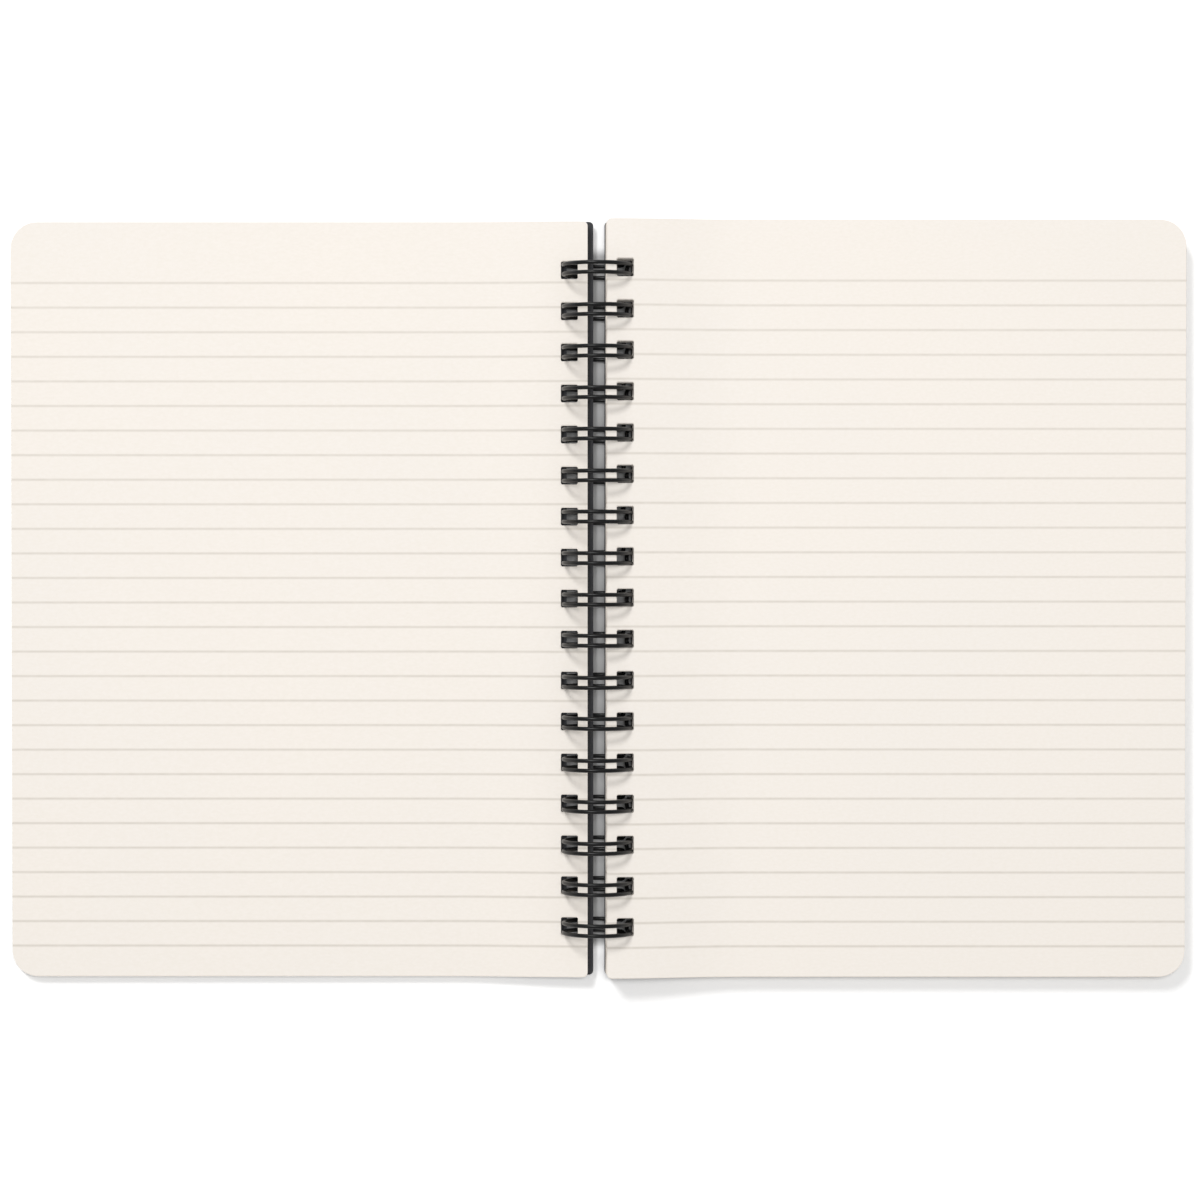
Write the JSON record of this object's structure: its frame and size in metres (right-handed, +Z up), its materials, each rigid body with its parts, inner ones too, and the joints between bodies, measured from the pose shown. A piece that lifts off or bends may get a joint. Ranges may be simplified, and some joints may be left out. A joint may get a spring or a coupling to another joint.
{
  "type": "wire-bound notebook",
  "caption": "Ruled notebook with a twin-loop wire binding, lying open and flat: a block of sheets and a card cover on each side, held by wire rings through punched holes.",
  "frame": {"origin": "on the table under the ring axis, half way up the pages", "axes": "+X to the right across both pages, +Y up the pages to their top edge, +Z up from the table"},
  "size_m": [0.3634, 0.2343, 0.022],
  "materials": {
    "paper": "matt uncoated cream paper",
    "ruling_ink": "matt pale grey print",
    "cover_card": "matt dark grey card",
    "coated_wire": "black nylon-coated steel, satin"
  },
  "bodies": {
    "back": {"back_cover": "cover_card", "binding_wire": "coated_wire"},
    "front": {"front_cover": "cover_card"},
    "left_block": {"left_pages": "paper", "left_ruling": "ruling_ink"},
    "right_block": {"right_pages": "paper", "right_ruling": "ruling_ink"}
  },
  "joints": [
    {"name": "front_cover_turn", "type": "hinge", "parent": "back", "child": "front", "pos_m": [0, 0, 0.01103], "axis": [0, 1, 0], "range_deg": [0, 180]},
    {"name": "left_pages_turn", "type": "hinge", "parent": "front", "child": "left_block", "pos_m": [0, 0, 0.01103], "axis": [0, 1, 0], "range_deg": [0, 180]},
    {"name": "right_pages_turn", "type": "hinge", "parent": "back", "child": "right_block", "pos_m": [0, 0, 0.01103], "axis": [0, -1, 0], "range_deg": [0, 180]}
  ]
}
